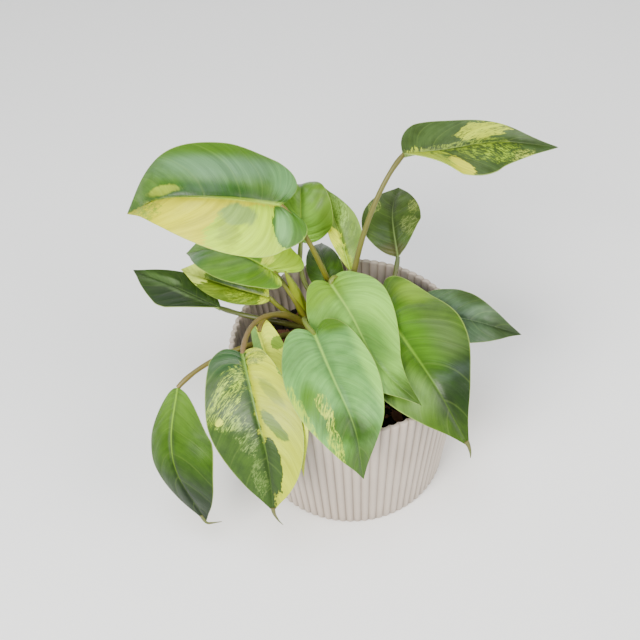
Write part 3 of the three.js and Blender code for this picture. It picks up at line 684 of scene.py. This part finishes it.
# A point of the blade's upper side, the way it faces, and its place as shares of the leaf
def bladePoint(leaf, side, share, across):
    edge = throughPoints(outlinePoints, share)
    reach = edge.x
    if edge.x < blade["widest"]:
        tapered = blade["taperedBase"] * edge.y
        reach = tapered + (edge.x - tapered) * leaf["lobe"][side]
    reach, veinStart = bellied(reach, leaf["belly"][side]), bellied(edge.z, leaf["belly"][side])
    along = veinStart + (reach - veinStart) * across
    out = edge.y * across
    place, _, up, right = midribFrame(leaf, along)
    fold, turn = math.radians(leaf["fold"][side]), math.radians(leaf["turn"][side])
    width = leaf["width"][side]
    angle = fold + turn * out
    sideways = width * (math.sin(angle) - math.sin(fold)) / turn
    rise = width * (math.cos(fold) - math.cos(angle)) / turn
    rise += leaf["wave"][side] * out * out * math.sin(2 * math.pi * blade["waves"] * along)
    rise += veinRelief(leaf, share, across, out * width)
    sign = (-1, 1)[side]
    spot = place + right * sign * sideways + up * rise
    normal = up
    if across > 0:
        normal = up * math.cos(angle) - right * sign * math.sin(angle)
    return spot, normal, (sign * out, along)


# The share at which a side vein leaves the midrib: veins bow towards the tip near the edge
def veinRoot(share, across):
    return share - blade["veinBow"] * across ** 2 * min(1, 3 * (1 - share))


# The blade puffs up between its side veins and dips along them and along the midrib
def veinRelief(leaf, share, across, offRib):
    fade = min(1, 9 * share) * min(1, 6 * (1 - share)) * math.sin(math.pi * min(across * 1.02, 1)) ** 0.8
    puff = abs(math.sin(math.pi * blade["veins"] * veinRoot(share, across))) ** 0.6 - 0.6
    groove = math.exp(-(offRib / blade["ribWidth"]) ** 2) * min(1, 8 * (1 - share))
    return blade["veinDepth"] * leaf["puff"] * fade * puff - blade["ribGroove"] * groove


def buildBlade(name, leaf, seed):
    rows, columns = blade["rows"], blade["columns"]
    points, veinMap, flatMap, under, indexOf = [], [], [], [], {}

    def corner(sheet, side, row, column):
        if row in (0, rows):
            column = 0
        if column == 0:
            side = 0
        key = (sheet, side, row, column)
        if key not in indexOf:
            share, across = row / rows, (column / columns) ** blade["crowding"]
            spot, normal, flat = bladePoint(leaf, side, share, across)
            if sheet == "lower":
                thickness = blade["thickness"] + (blade["edgeThickness"] - blade["thickness"]) * across ** 2
                offKeel = flat[0] * leaf["width"][side] / blade["keelWidth"]
                keel = blade["keel"] * (1 - share) * math.exp(-offKeel ** 2)
                spot = spot - normal * (thickness + keel)
            indexOf[key] = len(points)
            points.append(spot)
            veinMap.append((veinRoot(share, across), (-1, 1)[side] * across))
            flatMap.append(flat)
            under.append(1.0 if sheet == "lower" else 0.0)
        return indexOf[key]

    faces = []

    def addFace(corners, flip):
        kept = [c for i, c in enumerate(corners) if c not in corners[:i]]
        if len(kept) > 2:
            faces.append(kept[::-1] if flip else kept)

    for side in (0, 1):
        for row in range(rows):
            for column in range(columns):
                for sheet in ("upper", "lower"):
                    square = [corner(sheet, side, r, c) for r, c in
                              ((row, column), (row, column + 1), (row + 1, column + 1), (row + 1, column))]
                    addFace(square, (side == 0) != (sheet == "lower"))
            rim = [corner("upper", side, row, columns), corner("lower", side, row, columns),
                   corner("lower", side, row + 1, columns), corner("upper", side, row + 1, columns)]
            addFace(rim, side == 0)
    piece = newPiece(name + "Leaf", points, faces, waxyLeaf(name, leaf, seed))
    giveMap(piece, "veinMap", veinMap)
    giveMap(piece, "flatMap", flatMap)
    giveValues(piece, "under", under)
    placePiece(piece, leaf["slot"], leaf["node"])


# A living aroid leaf with a waxy skin: a broad soft sheen over sunken veins. The pale parts
# lack green and join the green in jagged streaks and flecks that follow the side veins.
def waxyLeaf(name, leaf, seed):
    material, tree, shader = newMaterial("waxyLeaf_" + name, Roughness=0.36, IOR=1.45,
                                         Specular_IOR_Level=leaf.get("shine", blade["shine"]))
    veinMap = addNode(tree, "ShaderNodeUVMap", uv_map="veinMap")
    flatMap = addNode(tree, "ShaderNodeUVMap", uv_map="flatMap")
    place = addNode(tree, "ShaderNodeTexCoord").outputs["Object"]
    pattern = {}
    for kind, look in blade["patterns"].items():
        laid = addNode(tree, "ShaderNodeMapping", {
            "Vector": veinMap, "Location": (look["shift"][0] * seed, look["shift"][1] * seed, 0),
            "Scale": (blade["edgeLength"] / look["size"][0], blade["veinLength"] / look["size"][1], 1)})
        pattern[kind] = addNode(tree, "ShaderNodeTexNoise", {
            "Vector": laid, "Scale": 1.0, "Detail": look["detail"], "Roughness": look["roughness"]})
    fleck = addNode(tree, "ShaderNodeMixRGB", {
        "Fac": 0.62, "Color1": pattern["blotch"], "Color2": pattern["thread"]})
    jag = addNode(tree, "ShaderNodeMixRGB", {
        "Fac": 0.3, "Color1": pattern["blotch"], "Color2": pattern["thread"]})

    # Green ground with darker clouds of about 8 mm
    cloud = addNode(tree, "ShaderNodeTexNoise", {
        "Vector": place, "Scale": noiseScale(8.33), "Detail": 4.0})
    deep = addNode(tree, "ShaderNodeMapRange", {"Value": cloud, "From Min": 0.4, "From Max": 0.65})
    colour = addNode(tree, "ShaderNodeMixRGB", {
        "Fac": deep, "Color1": linear(leaf["green"]), "Color2": linear(leaf["deep"])})

    # Markings, one over the other
    for marking in leaf["markings"]:
        ellipse = addNode(tree, "ShaderNodeMapping", {
            "Vector": flatMap, "Location": (*marking["at"], 0), "Scale": (*marking["size"], 1),
            "Rotation": (0, 0, math.radians(marking.get("slant", 0)))}, vector_type="TEXTURE")
        reach = addNode(tree, "ShaderNodeVectorMath", {0: ellipse}, operation="LENGTH").outputs["Value"]
        swing = blade["jagged"] * marking.get("ragged", blade["ragged"])
        offset = addNode(tree, "ShaderNodeMath", {
            0: jag, 1: swing, 2: -0.5 * swing}, operation="MULTIPLY_ADD")
        ragged = addNode(tree, "ShaderNodeMath", {0: reach, 1: offset}, operation="ADD")
        soft = marking.get("soft", blade["soft"])
        inside = addNode(tree, "ShaderNodeMapRange", {
            "Value": ragged, "From Min": 1 + soft, "From Max": 1 - soft}, interpolation_type="SMOOTHSTEP")
        if "cover" in marking:      # about the share of the patch that its flecks cover
            limit = 0.5 + 0.3 * (0.5 - marking["cover"])
            flecked = addNode(tree, "ShaderNodeMapRange", {
                "Value": fleck, "From Min": limit - 0.03, "From Max": limit + 0.05})
            inside = addNode(tree, "ShaderNodeMath", {0: inside, 1: flecked}, operation="MULTIPLY")
        colour = addNode(tree, "ShaderNodeMixRGB", {
            "Fac": inside, "Color1": colour, "Color2": linear(marking["tone"])})

    # Pale and dark pleats with thin streaks on them
    lines = addNode(tree, "ShaderNodeMixRGB", {
        "Fac": 0.35, "Color1": pattern["pleat"], "Color2": pattern["streak"]})
    paler = addNode(tree, "ShaderNodeMapRange", {
        "Value": lines, "From Min": 0.36, "From Max": 0.64, "To Min": 0.8, "To Max": 1.2})
    colour = addNode(tree, "ShaderNodeVectorMath", {0: colour, "Scale": paler}, operation="SCALE")

    # The fold beside the midrib lies in its own shade
    flat = addNode(tree, "ShaderNodeSeparateXYZ", {"Vector": flatMap})
    offRib = addNode(tree, "ShaderNodeMath", {0: flat.outputs["X"]}, operation="ABSOLUTE")
    foldShade = addNode(tree, "ShaderNodeMapRange", {
        "Value": offRib, "From Min": 0.02, "From Max": 0.22, "To Min": 0.7, "To Max": 1.0},
        interpolation_type="SMOOTHSTEP")
    colour = addNode(tree, "ShaderNodeVectorMath", {0: colour, "Scale": foldShade}, operation="SCALE")

    # Side veins and midrib, a little paler than the blade; the midrib fades out to the tip
    split = addNode(tree, "ShaderNodeSeparateXYZ", {"Vector": veinMap})
    count = addNode(tree, "ShaderNodeMath", {
        0: split.outputs["X"], 1: float(blade["veins"])}, operation="MULTIPLY")
    offVein = addNode(tree, "ShaderNodeMath", {0: count, 1: 0.5}, operation="PINGPONG")
    veinLine = addNode(tree, "ShaderNodeMapRange", {
        "Value": offVein, "From Min": 0.045, "From Max": 0.0, "To Max": 0.08})
    colour = addNode(tree, "ShaderNodeMixRGB", {
        "Fac": veinLine, "Color1": colour, "Color2": linear(blade["vein"])})
    taper = addNode(tree, "ShaderNodeMapRange", {
        "Value": flat.outputs["Y"], "To Min": 0.05, "To Max": 0.008})
    fade = addNode(tree, "ShaderNodeMapRange", {
        "Value": flat.outputs["Y"], "From Min": 0.15, "From Max": 0.75, "To Min": 0.9, "To Max": 0.12})
    ribLine = addNode(tree, "ShaderNodeMapRange", {
        "Value": offRib, "From Min": taper, "From Max": 0.0, "To Max": fade})
    colour = addNode(tree, "ShaderNodeMixRGB", {
        "Fac": ribLine, "Color1": colour, "Color2": linear(leaf.get("rib", blade["rib"]))})

    # A thin pale rim, and a paler underside
    edge = addNode(tree, "ShaderNodeMath", {0: split.outputs["Y"]}, operation="ABSOLUTE")
    rimLine = addNode(tree, "ShaderNodeMapRange", {
        "Value": edge, "From Min": 0.975, "From Max": 1.0, "To Max": 0.6})
    colour = addNode(tree, "ShaderNodeMixRGB", {
        "Fac": rimLine, "Color1": colour, "Color2": linear(blade["rim"])})
    under = addNode(tree, "ShaderNodeAttribute", attribute_name="under").outputs["Fac"]
    below = addNode(tree, "ShaderNodeMath", {0: under, 1: 0.45}, operation="MULTIPLY")
    colour = addNode(tree, "ShaderNodeMixRGB", {
        "Fac": below, "Color1": colour, "Color2": linear(blade["under"])})

    bump = addNode(tree, "ShaderNodeBump", {
        "Height": pattern["streak"], "Strength": 0.3, "Distance": 0.5 * mm})
    gloss = addNode(tree, "ShaderNodeMapRange", {"Value": cloud, "To Min": 0.28, "To Max": 0.44})
    setInputs(shader, {"Base Color": colour, "Roughness": gloss, "Normal": bump})
    return material


# Drip tips: three leaves end in a thin tail, flat like the blade
drip = {
    "steps": 18, "sides": 12, "width": 1.5, "flatness": 0.4, "tipShare": 0.14,
    "fresh": "3f5a12", "dry": "6a5a34",
}


# Dry leaf tissue at a drip tip: dull green that turns brown as it dries out, in 4 mm patches.
def dryingTip():
    material, tree, shader = newMaterial("dryingTip", Roughness=0.6)
    place = addNode(tree, "ShaderNodeTexCoord").outputs["Object"]
    patch = addNode(tree, "ShaderNodeTexNoise", {
        "Vector": place, "Scale": noiseScale(3.85), "Detail": 3.0})
    tone = addNode(tree, "ShaderNodeMixRGB", {
        "Fac": patch, "Color1": linear(drip["fresh"]), "Color2": linear(drip["dry"])})
    setInputs(shader, {"Base Color": tone})
    return material


def buildDrip(name, leaf, material):
    path = [Vector(point) for point in leaf["drip"]]
    rings = []
    for step in range(drip["steps"] + 1):
        share = step / drip["steps"]
        ahead = throughPoints(path, min(1, share + 0.02)) - throughPoints(path, max(0, share - 0.02))
        across = ahead.cross(Vector(leaf["tipFace"])).normalized()
        up = across.cross(ahead).normalized() * drip["flatness"]
        width = drip["width"] * (1 - (1 - drip["tipShare"]) * share)
        centre = throughPoints(path, share)
        rings.append([centre + (across * math.cos(a) + up * math.sin(a)) * width
                      for a in turnAngles(drip["sides"])])
    points, faces = stackRings(rings, path[0], path[-1])
    placePiece(newPiece(name + "Drip", points, faces, material), leaf["slot"], leaf["node"])


for number, (name, leaf) in enumerate(leaves.items()):
    buildBlade(name, leaf, 3.7 * number)
tipSkin = dryingTip()
for name, leaf in leaves.items():
    if "drip" in leaf:
        buildDrip(name, leaf, tipSkin)
print("leaf blades built")


# Stems: short stumps in the soil, and the stalks that grow from them
stem = {
    "foot": 55, "footSlope": 3, "topSlope": 3, "footShare": 0.8, "topShare": 0.7,
    "sides": 28, "stumpSteps": 40, "scarsPerMm": 0.21, "scarWidth": 0.12, "scarDepth": 0.06,
    "stalkStart": 90, "rootRadius": 2.4, "topRadius": 1.3, "stalkSides": 16, "stalkSteps": 44,
    "swelling": 0.2, "swellAt": 0.93, "swellWidth": 0.05,     # a stalk thickens just below its blade
    "places": {"left": ((-21, 23), 97, 6.5), "back": ((3, 33), 98, 6), "right": ((12, 9), 97, 6)},
    "colour": "5e6020", "scar": "463e18", "blotch": "505422",
}


# A round skin along a row of places, with a radius and a tint for each
def tubeSkin(centres, radii, tints, sides):
    rings, normal = [], None
    for i, centre in enumerate(centres):
        along = (centres[min(i + 1, len(centres) - 1)] - centres[max(i - 1, 0)]).normalized()
        if normal is None:
            normal = along.orthogonal().normalized()
        normal = (normal - along * normal.dot(along)).normalized()
        across = along.cross(normal)
        rings.append([centre + (normal * math.cos(a) + across * math.sin(a)) * radii[i]
                      for a in turnAngles(sides)])
    points, faces = stackRings(rings, centres[0], centres[-1])
    colours = [tints[0]] + [tint for tint in tints for _ in range(sides)] + [tints[-1]]
    return points, faces, colours


def stalkSkin(leaf, foot):
    place, _, up, _ = midribFrame(leaf, 0)
    corners = [foot, *[Vector(point) for point in leaf["bend"]], place - up * blade["thickness"]]
    low, high = [Vector(linear(colour)) for colour in leaf["stalk"]]
    centres, radii, tints = [], [], []
    for step in range(stem["stalkSteps"] + 1):
        t = step / stem["stalkSteps"]
        weights = ((1 - t) ** 3, 3 * t * (1 - t) ** 2, 3 * t * t * (1 - t), t ** 3)
        centres.append(sum((corner * weight for corner, weight in zip(corners, weights)), Vector()))
        slim = stem["rootRadius"] + (stem["topRadius"] - stem["rootRadius"]) * math.sqrt(t)
        swell = math.exp(-((t - stem["swellAt"]) / stem["swellWidth"]) ** 2)
        radii.append(slim * (1 + stem["swelling"] * swell))
        tints.append(low.lerp(high, t ** 1.5))
    return tubeSkin(centres, radii, tints, stem["stalkSides"])


def stumpSkin(foot, top, radius):
    low, tall = stem["foot"], top - stem["foot"]
    colour, scar = Vector(linear(stem["colour"])), Vector(linear(stem["scar"]))
    centres, radii, tints = [], [], []
    for step in range(stem["stumpSteps"] + 1):
        z = low + tall * step / stem["stumpSteps"]
        share = min(1, stem["footShare"] + (z - low) / stem["footSlope"] * (1 - stem["footShare"]))
        share = min(share, stem["topShare"] + (top - z) / stem["topSlope"] * (1 - stem["topShare"]))
        ring = math.exp(-(((z * stem["scarsPerMm"]) % 1 - 0.5) / stem["scarWidth"]) ** 2)
        centres.append(Vector((*foot, z)))
        radii.append(radius * share * (1 - stem["scarDepth"] * ring))
        tints.append(colour.lerp(scar, ring))
    return tubeSkin(centres, radii, tints, stem["sides"])


# Petiole skin: smooth and waxy, olive shading to tan, with faint darker blotches of 6 mm.
def petioleSkin():
    material, tree, shader = newMaterial("petioleSkin", Roughness=0.42, IOR=1.45)
    tint = addNode(tree, "ShaderNodeAttribute", attribute_name="tint").outputs["Color"]
    place = addNode(tree, "ShaderNodeTexCoord").outputs["Object"]
    blotch = addNode(tree, "ShaderNodeTexNoise", {
        "Vector": place, "Scale": noiseScale(6.25), "Detail": 4.0})
    factor = addNode(tree, "ShaderNodeMapRange", {
        "Value": blotch, "From Min": 0.45, "From Max": 0.8, "To Max": 0.5})
    tone = addNode(tree, "ShaderNodeMixRGB", {
        "Fac": factor, "Color1": tint, "Color2": linear(stem["blotch"])})
    bump = addNode(tree, "ShaderNodeBump", {"Height": blotch, "Strength": 0.2, "Distance": 0.5 * mm})
    setInputs(shader, {"Base Color": tone, "Normal": bump})
    return material


def buildStems():
    material = petioleSkin()
    for name, (foot, top, radius) in stem["places"].items():
        skins = [stumpSkin(foot, top, radius)]
        start = Vector((*foot, stem["stalkStart"]))
        skins += [stalkSkin(leaf, start) for leaf in leaves.values() if leaf["stem"] == name]
        points, faces, tints = [], [], []
        for newPoints, newFaces, newTints in skins:
            faces += [[len(points) + i for i in face] for face in newFaces]
            points += newPoints
            tints += newTints
        piece = newPiece(name + "Stem", points, faces, material)
        colours = piece.data.attributes.new("tint", "FLOAT_COLOR", "POINT")
        colours.data.foreach_set("color", [channel for tint in tints for channel in tint])
        placePiece(piece, "stalk", "stem_" + name)


buildStems()
print("stems built")


# Shoots at the crown: the young leaf still rolled, and two sheaths that young leaves left
shoots = {
    "rolledLeaf": {
        "node": "rolled_leaf", "slot": "yellow_leaf", "rough": 0.4, "colours": ("8f9420", "6c8418"),
        "path": [(-24, 27, 94), (-26, 29, 110), (-34, 30, 134)],
        "radius": (2.6, 3.4, 0.5), "seam": 0.16, "ribs": 0,
    },
    "drySheath": {
        "node": "dry_sheath", "slot": "sheath", "rough": 0.85, "colours": ("a08a54", "74542c"),
        "path": [(-16, 22, 94), (-17, 21, 102), (-21, 20, 111)],
        "radius": (2.4, 2.6, 0.5), "seam": 0.1, "ribs": 9,
    },
    "greenSheath": {
        "node": "green_sheath", "slot": "yellow_leaf", "rough": 0.5, "colours": ("8e961e", "6f7e1c"),
        "path": [(1, 30, 94), (-3, 29, 106), (-9, 29, 120)],
        "radius": (2.2, 2.6, 0.5), "seam": 0.12, "ribs": 7,
    },
}
roll = {
    "sides": 32, "steps": 36, "fluteDepth": 0.05,
    "seamAt": 4.2, "seamWind": 1.3, "seamWidth": 0.25,      # radians round the shoot
}


# Young leaf tissue and papery bract: striped along their length, the bract dry and matt.
def shootSkin(name, shoot):
    material, tree, shader = newMaterial("shootSkin_" + name, Roughness=shoot["rough"])
    place = addNode(tree, "ShaderNodeTexCoord").outputs["Object"]
    # stripes 1.4 mm apart and 11 mm long
    apart, long = noiseScale(1.43), noiseScale(11.1)
    stretched = addNode(tree, "ShaderNodeMapping", {"Vector": place, "Scale": (apart, apart, long)})
    fibre = addNode(tree, "ShaderNodeTexNoise", {"Vector": stretched, "Scale": 1.0, "Detail": 3.0})
    tone = addNode(tree, "ShaderNodeMixRGB", {
        "Fac": fibre, "Color1": linear(shoot["colours"][0]), "Color2": linear(shoot["colours"][1])})
    bump = addNode(tree, "ShaderNodeBump", {"Height": fibre, "Strength": 0.3, "Distance": 0.4 * mm})
    setInputs(shader, {"Base Color": tone, "Normal": bump})
    return material


def buildShoot(name, shoot):
    start, bend, end = [Vector(point) for point in shoot["path"]]
    foot, middle, tip = shoot["radius"]
    rings = []
    for step in range(roll["steps"] + 1):
        t = step / roll["steps"]
        centre = start * (1 - t) ** 2 + bend * 2 * t * (1 - t) + end * t * t
        along = ((bend - start) * (1 - t) + (end - bend) * t).normalized()
        side = along.cross(Vector((0, 1, 0))).normalized()
        other = side.cross(along)
        radius = foot + (tip - foot) * t + (middle - (foot + tip) / 2) * 4 * t * (1 - t)
        ring = []
        for a in turnAngles(roll["sides"]):
            fromSeam = a - roll["seamAt"] + roll["seamWind"] * t      # the seam winds round
            fromSeam = (fromSeam + math.pi) % (2 * math.pi) - math.pi
            dent = shoot["seam"] * math.exp(-(fromSeam / roll["seamWidth"]) ** 2)
            flute = roll["fluteDepth"] * math.cos(shoot["ribs"] * a) if shoot["ribs"] else 0
            reach = radius * (1 - dent + flute)
            ring.append(centre + (side * math.cos(a) + other * math.sin(a)) * reach)
        rings.append(ring)
    points, faces = stackRings(rings, start, end)
    placePiece(newPiece(name, points, faces, shootSkin(name, shoot)), shoot["slot"], shoot["node"])


for name, shoot in shoots.items():
    buildShoot(name, shoot)
print("shoots built")


# Studio: a pale floor that curves up behind, a weak softbox overhead, a broad window light on
# the left and a fill on the right
studio = {
    "floor": "f6f5f3", "width": 3000, "front": -1600, "back": 1500, "curve": 500, "curveSteps": 16,
    "height": 1600, "sky": "eff3f7", "skyStrength": 0.6,
    "lamps": [      # place, aim, size in mm, power in W, colour
        {"name": "softbox", "place": (-120, -200, 1250), "aim": (0, 0, 120), "size": 480,
         "power": 7, "colour": "e6f0ff"},
        {"name": "window", "place": (-700, -950, 950), "aim": (0, 0, 120), "size": 700,
         "power": 34, "colour": "fffdf8"},
        {"name": "fill", "place": (950, -450, 800), "aim": (0, 0, 80), "size": 900,
         "power": 15, "colour": "fffdf8"},
    ],
}


# Background paper, painted matt: no highlight, and a tooth too fine to show, drawn at 1.1 mm.
def paintedPaper():
    material, tree, shader = newMaterial("paintedPaper", Roughness=0.9)
    place = addNode(tree, "ShaderNodeTexCoord").outputs["Object"]
    tooth = addNode(tree, "ShaderNodeTexNoise", {"Vector": place, "Scale": noiseScale(1.11)})
    bump = addNode(tree, "ShaderNodeBump", {"Height": tooth, "Strength": 0.03, "Distance": 0.5 * mm})
    setInputs(shader, {"Base Color": linear(studio["floor"]), "Normal": bump})
    return material


def buildStudio():
    bend = studio["curve"]
    profile = [(studio["front"], 0), (studio["back"] - bend, 0)]
    for step in range(1, studio["curveSteps"] + 1):
        turn = math.pi / 2 * step / studio["curveSteps"]
        profile.append((studio["back"] - bend + bend * math.sin(turn), bend * (1 - math.cos(turn))))
    profile.append((studio["back"], studio["height"]))
    half = studio["width"] / 2
    points = [(x, y, z) for y, z in profile for x in (-half, half)]
    faces = [(2 * i, 2 * i + 1, 2 * i + 3, 2 * i + 2) for i in range(len(profile) - 1)]
    newPiece("floor", points, faces, paintedPaper())
    for lamp in studio["lamps"]:
        light = bpy.data.objects.new(lamp["name"], bpy.data.lights.new(lamp["name"], "AREA"))
        light.data.size = lamp["size"] * mm
        light.data.energy = lamp["power"]
        light.data.color = linear(lamp["colour"])[:3]
        light.location = Vector(lamp["place"]) * mm
        facing = Vector(lamp["aim"]) - Vector(lamp["place"])
        light.rotation_euler = facing.to_track_quat("-Z", "Y").to_euler()
        bpy.context.scene.collection.objects.link(light)
    world = bpy.data.worlds.new("studioSky")
    world.use_nodes = True
    background = world.node_tree.nodes["Background"]
    setInputs(background, {"Color": linear(studio["sky"]), "Strength": studio["skyStrength"]})
    bpy.context.scene.world = world


buildStudio()
print("studio built")
